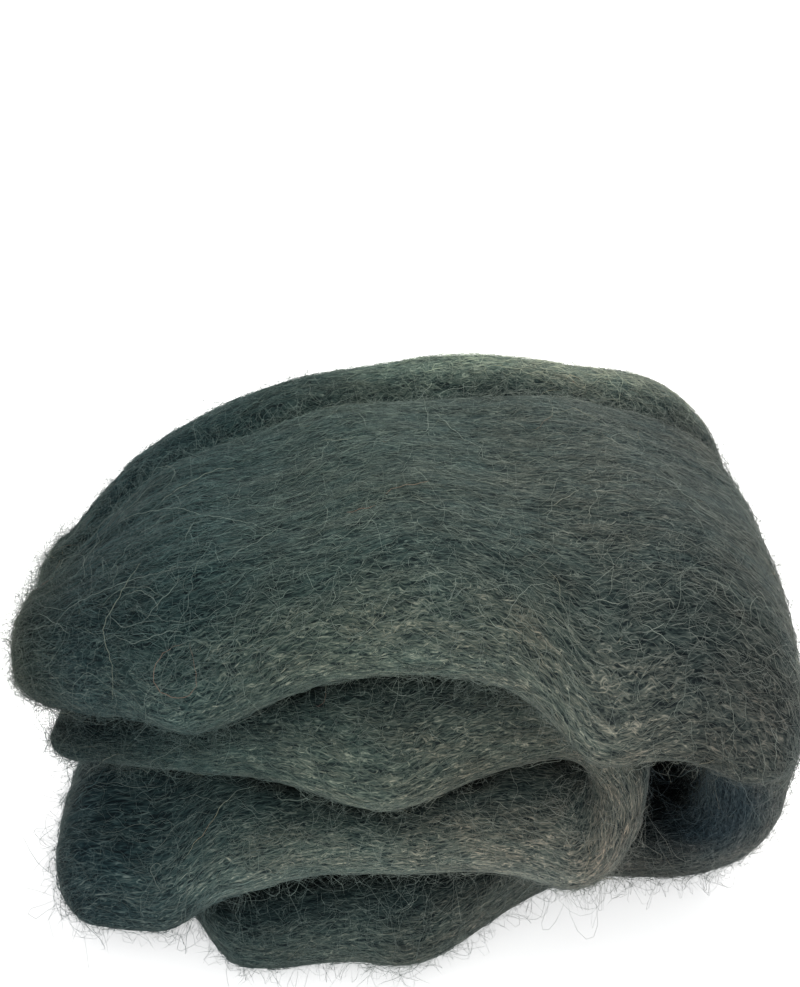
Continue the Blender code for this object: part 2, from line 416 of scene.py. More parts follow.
def rimHighlightMask(rim, points, normals, spec):
    # the largest of the values of all edges with a painted highlight
    rim = rim * (1 - spec["shoulderLoss"] * between(points[..., 0], *spec["shoulder"]))
    ends = between(np.abs(normals[..., 0]), *spec["end"]) ** spec["endPower"]
    back = between(normals[..., 1], *spec["back"]) * between(normals[..., 2], *spec["up"])
    back = back * between(points[..., 0], *spec["left"])
    rim = np.maximum(rim, woolFinish["rimFrom"] + spec["endPaleness"] * ends)
    return np.maximum(rim, woolFinish["rimFrom"] + spec["backPaleness"] * back)


# wool finishes with painted light and shade; colours are linear
woolFinish = {
    "gap": (0.006, 0.011, 0.013),  # shadow between fibres
    "deep": (0.026, 0.042, 0.0415),
    "mid": (0.061, 0.083, 0.077),
    "pale": (0.16, 0.192, 0.172),  # lit fibres
    "bright": (0.27, 0.32, 0.275),
    "straw": (0.42, 0.41, 0.28),
    "rust": (0.26, 0.11, 0.080),
    "warm": (0.99, 0.94, 0.92),  # brownish patches
    "patchSize": 34 * mm,
    "patchShown": (0.46, 0.62),  # noise at which a patch begins and is full
    "cooler": (0.95, 1.0, 0.98),
    "warmer": (1.08, 1.0, 0.95),
    # painted shade in the loop and on the front of its inner edge: middle, and where the painted shade begins
    # and is full
    "hollow": ((59 * mm, -22 * mm, 26 * mm), 24 * mm, 13 * mm),
    "hollowFront": ((56.5 * mm, -29 * mm, 27 * mm), 17 * mm, 12 * mm),
    "hollowOpen": (0.92, 0.68),  # only places less open than this are in the loop
    "hollowShade": (0.30, 0.42, 0.54),
    "ridge": (          # the rearmost ridge, lightened by a painted highlight: axis, and where along it that begins and is full
        ("Y", 35, 42), ("Z", 56, 84), ("X", -20, 14), ("Y", 55, 49)),
    "ridgeHighlight": (3.00, 2.80, 2.45),
    "drift": (          # place along X in millimetres, and what the colour is multiplied by there: partly dye, partly painted shade that darkens the left
        (-76, (0.90, 0.88, 0.78)), (-70, (0.26, 0.36, 0.38)), (-60, (0.15, 0.31, 0.39)),
        (-38, (0.38, 0.58, 0.63)), (-10, (0.80, 0.93, 0.90)), (20, (0.93, 0.97, 0.95)),
        (40, (1.05, 1.01, 1.00)), (54, (0.84, 0.81, 0.83)), (66, (0.95, 0.90, 0.93)),
        (76, (0.90, 0.85, 0.90))),
    "heightShading": (           # the same by height, up to the open top: painted light and shade, darkest low down
        (5, (0.70, 0.68, 0.73)), (13, (0.84, 0.82, 0.90)), (20, (1.50, 1.38, 1.44)),
        (31, (1.43, 1.27, 1.28)), (38, (0.94, 0.90, 0.91)), (52, (1.00, 0.95, 0.96)),
        (64, (1.06, 1.03, 1.04))),
    "paleDrift": 0.70,  # how much of the drift the palest fibres of the strand show
    "shade": (0.05, 0.31, 0.13),  # painted shade in crevices: openness where it is darkest and where it ends, and what is left
    "rimFrom": 0.35,    # rim value from which the strand's thin edges get a paler and warmer painted highlight
    "rimHighlight": (2.65, 2.20, 2.00),
    "roughness": 0.72,
    "specular": 0.06,
    "sheen": 0.27,
    "sheenRoughness": 0.18,
    "sheenTint": (0.66, 0.76, 0.70, 1.0),
}


def newMaterial(name):
    # a material, the makers of its nodes and its links, and its shader
    material = bpy.data.materials.new(name)
    material.use_nodes = True
    tree = material.node_tree
    shader = tree.nodes["Principled BSDF"]

    def node(kind, links=None, **settings):
        # a new node; settings are its inputs or properties, links feed its inputs by name or number
        made = tree.nodes.new(kind)
        for key, value in settings.items():
            key = key.replace("_", " ") if key[0].isupper() else key
            if key[0].isupper():
                made.inputs[key].default_value = value
            else:
                setattr(made, key, value)
        for key, source in (links or {}).items():
            tree.links.new(source, made.inputs[key])
        return made

    return material, node, tree.links.new, shader


def finishStops(finish, stops):
    # a ramp's places with the finish's colours in place of their names
    return [(place, finish[name]) for place, name in stops]


def ramp(node, source, stops):
    # a colour that goes from stop to stop
    made = node("ShaderNodeValToRGB", {"Fac": source})
    elements = made.color_ramp.elements
    while len(elements) < len(stops):
        elements.new(0.5)
    for element, (place, colour) in zip(elements, stops):
        element.position = place
        element.color = (*colour, 1.0)
    return made.outputs["Color"]


def spread(node, source, low, high, toLow=0.0, toHigh=1.0):
    # values from low to high become values from toLow to toHigh
    made = node("ShaderNodeMapRange", {"Value": source},
                From_Min=low, From_Max=high, To_Min=toLow, To_Max=toHigh)
    return made.outputs["Result"]


def calc(node, operation, first, second):
    # one sum on sockets or numbers
    made = node("ShaderNodeMath", operation=operation)
    for value, socket in zip((first, second), made.inputs):
        if isinstance(value, (int, float)):
            socket.default_value = value
        else:
            made.id_data.links.new(value, socket)
    return made.outputs[0]


def timesColour(node, first, second, amount=1.0):
    # the first colour times the second, by the amount
    mix = node("ShaderNodeMix", {6: first}, data_type="RGBA", blend_type="MULTIPLY")
    for value, socket in ((amount, mix.inputs[0]), (second, mix.inputs[7])):
        if isinstance(value, float):
            socket.default_value = value
        elif isinstance(value, tuple):
            socket.default_value = (*value, 1.0)
        else:
            mix.id_data.links.new(value, socket)
    return mix.outputs[2]


def finishWool(node, link, shader, base, spec, amount=1.0):
    # the colour drifts cooler and darker towards the left, partly dye and partly painted shade; painted light
    # and shade by height; a painted highlight on the rearmost ridge and on thin edges; painted shade in the
    # loop and in crevices; browner in patches
    place = node("ShaderNodeTexCoord").outputs["Object"]
    axes = node("ShaderNodeSeparateXYZ", {0: place})
    drifted = base
    # along X the colour drifts as dye and painted shade, by height as painted light and shade
    for axis, table in (("X", spec["drift"]), ("Z", spec["heightShading"])):
        low, high = table[0][0] * mm, table[-1][0] * mm
        stops = [((at * mm - low) / (high - low), colour) for at, colour in table]
        along = ramp(node, spread(node, axes.outputs[axis], low, high), stops)
        drifted = timesColour(node, drifted, along, amount)
    # painted highlight along the rearmost ridge
    ridge = 1.0
    for axis, low, high in spec["ridge"]:
        ridge = calc(node, "MULTIPLY", ridge, spread(node, axes.outputs[axis], low * mm, high * mm))
    drifted = timesColour(node, drifted, spec["ridgeHighlight"], ridge)
    open_ = node("ShaderNodeAttribute", attribute_name="open").outputs["Fac"]
    # painted shade inside the loop, only where the wool is less than fully open
    loopShade = spread(node, open_, *spec["hollowOpen"])
    for part, operation in (("hollow", "MULTIPLY"), ("hollowFront", "MAXIMUM")):
        middle, start, full = spec[part]
        away = node("ShaderNodeVectorMath", {0: place}, operation="DISTANCE")
        away.inputs[1].default_value = middle
        loopShade = calc(node, operation, spread(node, away.outputs["Value"], start, full), loopShade)
    drifted = timesColour(node, drifted, spec["hollowShade"], loopShade)
    patches = node("ShaderNodeTexNoise", {"Vector": place},
                   Scale=1 / spec["patchSize"], Detail=2.0, Roughness=0.55)
    patchy = spread(node, patches.outputs["Fac"], *spec["patchShown"])
    drifted = timesColour(node, drifted, spec["warm"], patchy)
    # painted shade in crevices, by the wool's openness
    shade = spread(node, open_, *spec["shade"], 1.0)
    grey = node("ShaderNodeCombineColor", {0: shade, 1: shade, 2: shade}).outputs[0]
    shaded = timesColour(node, drifted, grey)
    # painted highlight, paler and warmer, on thin edges
    rim = node("ShaderNodeAttribute", attribute_name="rim").outputs["Fac"]
    edged = timesColour(node, shaded, spec["rimHighlight"], spread(node, rim, spec["rimFrom"], 1.0))
    link(edged, shader.inputs["Base Color"])
    shader.inputs["Roughness"].default_value = spec["roughness"]
    shader.inputs["Specular IOR Level"].default_value = spec["specular"]
    shader.inputs["Sheen Weight"].default_value = spec["sheen"]
    shader.inputs["Sheen Roughness"].default_value = spec["sheenRoughness"]
    shader.inputs["Sheen Tint"].default_value = spec["sheenTint"]


# the strand's own surface: layers of fine wavy streaks, with thin paler hairs over them; millimetres
strandFinish = {
    "crimpLong": 2.0,   # size of the crimp along and across the strand, and how far it moves fibres
    "crimpWide": 1.3,
    "crimp": 0.9,
    "streaks": (        # slant, length, width
        (0.02, 3.8, 0.31), (0.16, 4.0, 0.34), (-0.19, 4.0, 0.34)),
    "streakShown": (0.475, 0.77),  # noise at which a gap is darkest and a fibre palest
    "hairs": (          # slant, length, width, share of the surface, strength
        (0.08, 9.0, 1.0, 0.050, 0.90),
        (0.36, 8.0, 1.3, 0.040, 0.95),
        (-0.44, 8.0, 1.5, 0.040, 0.90)),
    "hairShown": (0.44, 0.56),  # noise at which a hair begins and shows in full
    "stops": ((0.0, "gap"), (0.30, "deep"), (0.62, "mid"), (1.0, "pale")),
    "paleFrom": 0.35,   # tone from which the drift of dye and painted light and shade shows less
    "tint": 3.5,        # size of the small patches of warmer and cooler fibres
    "tintShown": (0.3, 0.7),
    "bump": 0.18 * mm,
    "bumpStrength": 0.75,
}


def makeStrandMaterial(spec, finish, radius):
    # tone is the largest of several stretched noises, each wound round the strand by its own slant
    material, node, link, shader = newMaterial("combedWool")
    space = node("ShaderNodeAttribute", attribute_name="strandSpace").outputs["Vector"]  # millimetres
    length = node("ShaderNodeSeparateXYZ", {0: space}).outputs["X"]

    def noise(vector, long, wide, shift, detail=1.0):
        # each noise is read at its own shift along the strand, so that no two are alike
        scaled = node("ShaderNodeMapping", {"Vector": vector},
                      Scale=(1 / long, 1 / wide, 1 / wide), Location=(shift, 0, 0))
        return node("ShaderNodeTexNoise", {"Vector": scaled.outputs[0]},
                    Scale=1.0, Detail=detail, Roughness=0.6)

    def slanted(vector, slant):
        angle = calc(node, "MULTIPLY", length, slant / radius)
        turned = node("ShaderNodeVectorRotate", {"Vector": vector, "Angle": angle}, rotation_type="X_AXIS")
        return turned.outputs[0]

    crimp = noise(space, spec["crimpLong"], spec["crimpWide"], 3.0)
    centred = node("ShaderNodeVectorMath", {0: crimp.outputs["Color"]}, operation="SUBTRACT")
    centred.inputs[1].default_value = (0.5, 0.5, 0.5)
    shifted = node("ShaderNodeVectorMath", {0: centred.outputs[0], 2: space}, operation="MULTIPLY_ADD")
    shifted.inputs[1].default_value = (spec["crimp"], spec["crimp"], spec["crimp"])
    wavy = shifted.outputs[0]

    streaks = 0.0
    for number, (slant, long, wide) in enumerate(spec["streaks"]):
        streak = noise(slanted(wavy, slant), long, wide, 11.0 * number, 2.0).outputs["Fac"]
        streaks = calc(node, "MAXIMUM", streak, streaks)
    tone = spread(node, streaks, *spec["streakShown"])
    for number, (slant, long, wide, share, strength) in enumerate(spec["hairs"]):
        made = noise(slanted(wavy, slant), long, wide, 70.0 + 11.0 * number)
        off = calc(node, "ABSOLUTE", calc(node, "SUBTRACT", made.outputs["Fac"], 0.5), 0.0)
        shown = node("ShaderNodeSeparateColor", {0: made.outputs["Color"]}).outputs["Green"]
        shown = spread(node, shown, *spec["hairShown"])
        hair = calc(node, "MULTIPLY", spread(node, off, share / 2, 0.0, 0.0, strength), shown)
        tone = calc(node, "MAXIMUM", hair, tone)
    base = ramp(node, tone, finishStops(finish, spec["stops"]))
    patch = noise(space, spec["tint"] * 3, spec["tint"], 5.0).outputs["Fac"]
    patch = spread(node, patch, *spec["tintShown"])
    tints = finishStops(finish, ((0.0, "cooler"), (1.0, "warmer")))
    base = timesColour(node, base, ramp(node, patch, tints))
    # the palest fibres show less of the drift of dye and painted light and shade
    drift = spread(node, tone, spec["paleFrom"], 1.0, 1.0, finish["paleDrift"])
    finishWool(node, link, shader, base, finish, drift)
    bump = node("ShaderNodeBump", {"Height": tone}, Strength=spec["bumpStrength"], Distance=spec["bump"])
    link(bump.outputs["Normal"], shader.inputs["Normal"])
    return material


def makeFibreMaterial(name, stops, finish, amount):
    # each fibre's own tone comes from its attribute; the drift of dye and painted shade along X and the
    # painted light and shade by height show on it by the amount
    material, node, link, shader = newMaterial(name)
    tone = node("ShaderNodeAttribute", attribute_name="tone").outputs["Fac"]
    finishWool(node, link, shader, ramp(node, tone, finishStops(finish, stops)), finish, amount)
    return material


def addPiece(name, mesh, material):
    # a smooth piece of wool that rides on the part
    mesh.materials.append(material)
    mesh.shade_smooth()
    piece = newObject(name, mesh)
    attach(piece, body)
    return piece


def fillAttribute(mesh, name, kind, values):
    # one value or vector for each point
    field = mesh.attributes.new(name, kind, "POINT")
    slot = "vector" if kind == "FLOAT_VECTOR" else "value"
    field.data.foreach_set(slot, values.astype(np.float32).reshape(-1))


# fibres: closed three-sided prisms that end in points
def prismFaces(fibres, steps):
    # each fibre has a first point, steps - 2 rings of three, and a last point
    size = 3 * (steps - 2) + 2
    ring, side = np.meshgrid(np.arange(steps - 3), np.arange(3), indexing="ij")
    after = (side + 1) % 3
    near = 1 + 3 * ring
    quads = np.stack((near + side, near + after, near + 3 + after, near + 3 + side), axis=-1).reshape(-1, 4)
    tip = np.arange(3)
    nextTip = (tip + 1) % 3
    lastRing = size - 4
    ends = np.concatenate((
        np.stack((1 + nextTip, 1 + tip, np.zeros(3, int)), axis=-1),
        np.stack((lastRing + tip, lastRing + nextTip, np.full(3, size - 1)), axis=-1)))
    first = (np.arange(fibres) * size)[:, None, None]
    return (quads[None] + first).reshape(-1, 4), (ends[None] + first).reshape(-1, 3), size


def fibrePiece(name, lines, guides, radius, tone, open_, material):
    # lines are the middles of the fibres, guides point away from the wool, radius is for each point
    fibres, steps = lines.shape[:2]
    along = unit(np.gradient(lines, axis=1))
    side = unit(np.cross(along, guides))
    up = np.cross(side, along)
    turn = (np.arange(3) * 2 * math.pi / 3)[None, None, :, None]
    spokes = np.cos(turn) * up[:, :, None] + np.sin(turn) * side[:, :, None]
    rings = lines[:, :, None] + radius[:, :, None, None] * spokes
    quads, ends, size = prismFaces(fibres, steps)
    points = np.concatenate((lines[:, :1], rings[:, 1:-1].reshape(fibres, -1, 3), lines[:, -1:]), axis=1)
    mesh = bpy.data.meshes.new(name)
    mesh.vertices.add(fibres * size)
    mesh.vertices.foreach_set("co", points.astype(np.float32).reshape(-1))
    corners = np.concatenate((quads.reshape(-1), ends.reshape(-1)))
    sizes = np.concatenate((np.full(len(quads), 4), np.full(len(ends), 3)))
    mesh.loops.add(len(corners))
    mesh.loops.foreach_set("vertex_index", corners.astype(np.int32))
    mesh.polygons.add(len(sizes))
    mesh.polygons.foreach_set("loop_start", np.concatenate(([0], np.cumsum(sizes)[:-1])).astype(np.int32))
    mesh.update(calc_edges=True)
    for label, values in (("tone", tone), ("open", open_)):
        onRings = np.repeat(values[:, 1:-1], 3, axis=1)
        fillAttribute(mesh, label, "FLOAT", np.concatenate((values[:, :1], onRings, values[:, -1:]), axis=1))
    return addPiece(name, mesh, material)


# where fibres start: more on bulges and at the strand's ends, none in crevices or on the floor
fieldSpec = {
    "shut": 0.15,       # openness below which none starts
    "floorGap": 2.0 * mm,
    "bulge": 9 * mm,    # bend radius that counts as one bulge
    "bulgeMost": 2.5,
    "endMore": 3.0,     # how much more a bulge counts at an end, and how far that reaches
    "endReach": 14 * mm,
    "sides": (18 * mm, 56 * mm),  # from the middle outwards, where the sides begin and are full
    "top": (40 * mm, 65 * mm),  # the same by height
    "leastStep": 0.05 * mm,
}


def fibreField(points, frames, distance, openings, spec):
    # what the fibres read from the strand's grid: its places, frames and cells, and where fibres start
    normals, along, around = frames
    near, open_ = openings
    metric = np.stack((np.linalg.norm(along, axis=-1), np.linalg.norm(around, axis=-1)), axis=-1)
    cellArea = np.linalg.norm(np.cross(along, around), axis=-1)
    aboveFloor = between(points[..., 2], 0, spec["floorGap"])
    atEnd = np.exp(-np.minimum(distance - distance.min(), distance.max() - distance) / spec["endReach"])
    bulges = np.clip(convexity(normals, along, around) * spec["bulge"], 0, spec["bulgeMost"])
    return {
        "points": points, "normals": normals, "open": open_, "metric": np.maximum(metric, spec["leastStep"]),
        "weights": cellArea * np.clip(near - spec["shut"], 0, 1) * aboveFloor,
        "convex": bulges * (1 + spec["endMore"] * atEnd),
        "sides": between(np.abs(points[..., 0]), *spec["sides"]),
        "top": between(points[..., 2], *spec["top"]),
    }


def startPlaces(rng, count, weights):
    # random places on the grid, more where the weights are larger
    share = np.cumsum(weights.reshape(-1))
    cell = np.searchsorted(share, rng.random(count) * share[-1])
    return cell // weights.shape[1] + rng.random(count), cell % weights.shape[1] + rng.random(count)


def walk(rng, spec, i, j, metric):
    # steps over the surface, each fibre with its own heading that wanders smoothly
    count = len(i)
    most, kept = 4.0, 0.7  # longest step in cells of the grid, and how much of a turn goes on
    length = rng.uniform(*spec["length"], count) * mm
    pace = length / (spec["steps"] - 1)
    heading = rng.normal(0.0, spec["stray"], count) + np.where(rng.random(count) < 0.5, 0.0, math.pi)
    turn = rng.normal(0.0, spec["curl"], count)
    allI, allJ = [i], [j]
    for _ in range(spec["steps"] - 1):
        pitch = gridRead(metric, allI[-1], allJ[-1])
        allI.append(allI[-1] + np.clip(np.cos(heading) * pace / pitch[:, 0], -most, most))
        allJ.append(allJ[-1] + np.clip(np.sin(heading) * pace / pitch[:, 1], -most, most))
        turn = turn * kept + rng.normal(0.0, spec["curl"], count) * kept
        heading = heading + turn
    return np.stack(allI, axis=1), np.stack(allJ, axis=1), length


def crimpWave(rng, count, t, length, sizes, lengths):
    # a crimp of its own size, length and phase for each fibre
    size = rng.uniform(*sizes, (count, 1)) * mm
    turns = length[:, None] / (rng.uniform(*lengths, (count, 1)) * mm)
    return size * np.sin(2 * math.pi * turns * t + rng.uniform(0, fullTurn, (count, 1)))


def thinned(t):
    # a fibre's thickness: full over its middle, half at both ends
    return 1 - 0.5 * np.abs(2 * t - 1) ** 3


def woolFibres(name, seed, spec, field, material):
    # fibres walk over the strand, swing with their crimp, and lift off it as a loop or a free end
    # they start more often on bulges, towards the ends and on the top, as the shares say
    rng = np.random.default_rng(seed)
    count, steps = spec["count"], spec["steps"]
    flat, ends, top = spec["flatShare"], spec.get("endShare", 0.0), spec.get("topShare", 0.0)
    weights = field["weights"] * (flat + field["convex"] * (1 - flat))
    weights = weights * (1 - ends + ends * field["sides"]) * (1 - top + top * field["top"])
    i, j = startPlaces(rng, count, weights)
    i, j, length = walk(rng, spec, i, j, field["metric"])
    base = gridRead(field["points"], i, j)
    away = unit(gridRead(field["normals"], i, j))
    beside = np.cross(unit(np.gradient(base, axis=1)), away)
    t = np.linspace(0, 1, steps)[None, :]
    swing = crimpWave(rng, count, t, length, spec["crimp"], spec["crimpLength"])
    height = rng.uniform(*spec["height"], (count, 1)) * mm
    height = height + crimpWave(rng, count, t, length, spec["bob"], spec["crimpLength"])
    lift = np.minimum(rng.gamma(spec["liftShape"], spec["lift"], (count, 1)), spec["liftMost"]) * mm
    # a loop rises and comes down again, a free end leaves the wool late
    height = height + lift * np.where(rng.random((count, 1)) < spec["loops"], np.sin(math.pi * t), t**1.6)
    lines = base + away * height[..., None] + beside * swing[..., None]
    lines[..., 2] -= spec["droop"] * lift * t**2
    thick = rng.uniform(*spec["radius"], (count, 1)) * mm
    lines[..., 2] = np.maximum(lines[..., 2], thick * 1.5)  # clear of the floor
    tone = rng.beta(*spec["tone"], (count, 1))
    # the tone changes a little along each fibre
    tone = np.clip(tone + 0.05 * np.sin(7 * t + rng.uniform(0, fullTurn, (count, 1))), 0, 1)
    open_ = gridRead(field["open"][..., None], i, j)[..., 0]
    open_ = np.clip(open_ + spec.get("clearing", 0.0), 0, 1)
    return fibrePiece(name, lines, away, thick * thinned(t), tone, open_, material)


# single pale hairs: tone, then how far across and down the frame each of its places is seen, in pixels
singleHairs = {
    "steps": 26,
    "radius": 0.050 * mm,
    "lift": 0.20 * mm,  # above the wool at its ends, and how much more at its middle
    "arch": 0.55 * mm,
    "crimp": 0.12 * mm,
    "crimpPixels": 15.0,  # length of a crimp
    "slack": 1.0 * mm,  # how far it may sink behind the line between its ends
    "missed": 0.27,     # its distance from the camera, in metres, where no wool is behind it
    "smoothings": 2,
    "seed": 71,
    "frameHeight": 987.0,
    "hairs": (
        (0.92, 143, 560, 125, 584, 120, 596, 107, 617, 102, 627, 105, 644, 112, 662, 113, 682, 112, 703),
        (0.70, 196, 564, 166, 571, 133, 579, 102, 591, 77, 602, 61, 614, 51, 636),
        (0.75, 179, 575, 176, 586, 158, 603, 148, 616, 140, 626),
        (0.75, 184, 634, 176, 630, 163, 633, 133, 644, 122, 639, 112, 634),
        (0.99, 189, 642, 194, 662, 198, 688, 184, 700, 163, 695, 153, 685, 153, 667, 166, 649, 186, 643),
        (0.90, 128, 754, 112, 755, 102, 762, 94, 767, 82, 776),
        (0.72, 161, 894, 157, 884, 152, 876, 151, 866, 156, 862, 162, 867, 161, 874),
        (0.90, 510, 690, 530, 692, 550, 702, 560, 713, 567, 725, 572, 740, 568, 748, 555, 752, 535, 756),
        (0.88, 640, 622, 653, 630, 666, 639, 675, 647),
        (0.66, 685, 680, 686, 693, 679, 703, 673, 713, 678, 720, 688, 731),
        (0.66, 722, 678, 729, 691, 731, 706, 735, 723, 734, 733, 727, 741, 719, 746),
        (0.70, 777, 726, 776, 743, 776, 759, 774, 773),
        (0.70, 732, 764, 741, 783, 749, 799, 757, 816, 766, 829),
        (0.74, 612, 781, 620, 777, 626, 777, 631, 771, 645, 767, 653, 762),
        (0.64, 668, 764, 669, 779, 668, 789, 660, 796, 650, 794),
        (0.64, 650, 792, 658, 796, 666, 802, 676, 806, 674, 814, 660, 812),
        (0.64, 676, 800, 681, 812, 686, 822, 696, 824, 701, 816, 698, 800, 704, 786),
        (0.90, 686, 775, 692, 785, 699, 793),
        (0.93, 660, 774, 679, 777, 691, 771, 701, 764, 716, 760),
        (0.70, 660, 385, 672, 392, 684, 400, 690, 412, 684, 425),
        (0.66, 676, 388, 690, 396, 700, 410, 703, 425),
        (0.98, 429, 480, 423, 483, 400, 486, 390, 490, 385, 494),
        (0.99, 376, 506, 365, 508, 346, 513),
        (0.70, 364, 515, 358, 522, 353, 525, 341, 526),
        (0.66, 414, 496, 423, 502, 433, 505, 441, 511, 451, 510, 459, 515, 467, 520, 481, 520, 502, 517),
        (0.62, 457, 576, 454, 589, 452, 597, 444, 603),
        (0.64, 393, 591, 385, 604, 381, 617),
        (0.64, 501, 627, 509, 614, 514, 602, 529, 586, 542, 583, 559, 590),
        (0.72, 303, 549, 312, 544, 322, 540, 333, 535, 345, 538),
        (0.70, 334, 586, 335, 596, 332, 606),
        (0.90, 157, 506, 166, 497, 178, 489, 191, 482, 203, 475, 220, 468, 237, 469),
        (0.85, 115, 526, 130, 515, 153, 511, 168, 508, 182, 507, 193, 513, 203, 516, 218, 516, 237, 521,
         254, 523, 270, 533),
        (0.80, 230, 559, 241, 549, 254, 544, 268, 534, 279, 528, 293, 531),
        (0.85, 38, 612, 50, 620, 59, 625, 69, 634),
        (0.70, 27, 630, 38, 628, 55, 624),
        (0.75, 119, 599, 134, 591, 143, 591, 153, 599, 159, 605, 155, 612),
        (0.80, 57, 695, 67, 692, 80, 694, 90, 696),
        (0.65, 186, 542, 187, 532, 193, 524, 203, 519),
        (0.85, 422, 395, 425, 403, 427, 414, 429, 424, 426, 432, 415, 433),
        (0.85, 415, 403, 422, 395, 430, 386, 432, 381),
        (0.85, 438, 400, 442, 391, 453, 389, 466, 387, 478, 386, 485, 382),
        (0.80, 434, 412, 442, 418, 449, 426, 459, 434, 466, 441, 476, 444, 481, 447, 483, 456, 484, 462),
        (0.75, 359, 412, 363, 418, 367, 428),
        (0.90, 321, 440, 332, 440, 344, 440, 357, 436),
        (0.90, 551, 506, 560, 501, 570, 495, 579, 490)),
}


def hairsFromPhoto(name, spec, view, surface, material):
    # each place is seen from the camera on the wool; where the wool falls away the hair hangs across
    tree = BVHTree.FromPolygons(surface.reshape(-1, 3).tolist(), strandFaces(*surface.shape[:2]))
    rng = np.random.default_rng(spec["seed"])
    pitch = math.radians(view["pitch"])
    right = np.array((1.0, 0.0, 0.0))
    ahead = np.array((0.0, math.cos(pitch), -math.sin(pitch)))
    up = np.cross(right, ahead)
    camera = np.array(view["place"])
    t = np.linspace(0, 1, spec["steps"])
    lines, guides, tones = [], [], []
    for tone, *places in spec["hairs"]:
        places = np.array(places, float).reshape(-1, 2)
        run = summed(np.linalg.norm(np.diff(places, axis=0), axis=1))
        path = np.stack([np.interp(t * run[-1], run, places[:, axis]) for axis in (0, 1)], axis=1)
        for _ in range(spec["smoothings"]):
            path[1:-1] = (path[:-2] + 2 * path[1:-1] + path[2:]) / 4
        across = (path[:, :1] - view["framePixels"] / 2) / view["focalPixels"]
        above = (spec["frameHeight"] / 2 - path[:, 1:]) / view["focalPixels"]
        rays = unit(ahead + across * right + above * up)
        reach = np.array([tree.ray_cast(Vector(camera), Vector(ray))[3] or spec["missed"] for ray in rays])
        reach = np.minimum(reach, reach[0] + (reach[-1] - reach[0]) * t + spec["slack"])
        reach = reach - spec["lift"] - spec["arch"] * np.sin(math.pi * t)
        line = camera + rays * reach[:, None]
        beside = unit(np.cross(np.gradient(line, axis=0), rays))
        turns = run[-1] / spec["crimpPixels"]
        swing = spec["crimp"] * np.sin(2 * math.pi * turns * t + rng.random() * fullTurn)
        line = line + beside * swing[:, None]
        lines.append(line)
        guides.append(-rays)
        tones.append(np.full(spec["steps"], tone))
    lines = np.array(lines)
    radius = spec["radius"] * np.broadcast_to(thinned(t), lines.shape[:2])
    open_ = np.ones(lines.shape[:2])
    return fibrePiece(name, lines, np.array(guides), radius, np.array(tones), open_, material)


# floor, light, and a far wall that is only seen: it takes no part in the light
studio = {
    "floorColour": (0.93, 0.93, 0.93),
    "floorRoughness": 0.9,
    "floorGlow": 0.55,
    "floorReach": 6.0,
    "wall": (5.5, 8.0, 48),  # radius, height, sides
    "world": 0.72,
    "lights": (         # place, size, energy, colour
        ("keyLight", (0.20, 0.45, 0.80), 0.60, 9.5, (1.0, 0.985, 0.955)),
        ("fillLight", (-0.45, -0.50, 0.45), 0.60, 1.0, (0.94, 0.98, 1.0))),
    "aim": (0.0, 0.0, 0.03),
}


def makeStudio(spec):
    # a square floor and a round wall of one bright material, an even world, and two aimed lights
    scene = bpy.context.scene
    world = bpy.data.worlds.new("studio")
    world.use_nodes = True
    background = world.node_tree.nodes["Background"]
    background.inputs["Color"].default_value = (1.0, 1.0, 1.0, 1.0)
    background.inputs["Strength"].default_value = spec["world"]
    scene.world = world
    material, _, _, shader = newMaterial("paleFloor")
    shader.inputs["Base Color"].default_value = (*spec["floorColour"], 1.0)
    shader.inputs["Roughness"].default_value = spec["floorRoughness"]
    shader.inputs["Specular IOR Level"].default_value = 0.0
    shader.inputs["Emission Color"].default_value = (1.0, 1.0, 1.0, 1.0)
    shader.inputs["Emission Strength"].default_value = spec["floorGlow"]
    reach = spec["floorReach"]
    corners = [(-reach, -reach, 0), (reach, -reach, 0), (reach, reach, 0), (-reach, reach, 0)]
    away, height, sides = spec["wall"]
    place = np.arange(sides)
    turn = place * 2 * math.pi / sides
    ring = np.stack((np.cos(turn), np.sin(turn), np.zeros(sides)), axis=-1) * away
    wall = np.concatenate((ring, ring + (0.0, 0.0, height))).tolist()
    after = (place + 1) % sides
    panels = np.stack((place, place + sides, after + sides, after), axis=-1).tolist()
    for name, shape, faces, lit in (
            ("studioFloor", corners, [(0, 1, 2, 3)], True), ("studioWall", wall, panels, False)):
        mesh = bpy.data.meshes.new(name)
        mesh.from_pydata(shape, [], faces)
        mesh.materials.append(material)
        stage = newObject(name, mesh)
        stage.visible_diffuse = stage.visible_glossy = stage.visible_shadow = lit
    for name, place, size, energy, colour in spec["lights"]:
        data = bpy.data.lights.new(name, "AREA")
        data.energy = energy
        data.size = size
        data.color = colour
        light = newObject(name, data)
        light.location = place
        light.rotation_euler = (Vector(spec["aim"]) - Vector(place)).to_track_quat("-Z", "Y").to_euler()
    scene.view_settings.view_transform = "Standard"


makeCamera(cameraView)
makeStudio(studio)
print("camera and studio done")

points, distance, girth, rim = strandGrid(strand)
normals, along, around = gridFrame(points)
near, far = openness(points, normals, along, openSpec)
open_ = far * (1 - openSpec["nearShare"] * (1 - near))
# where the painted edge highlight falls
rim = rimHighlightMask(rim, points, normals, edgeHighlights)
print("openness done")

rows, ring = points.shape[:2]
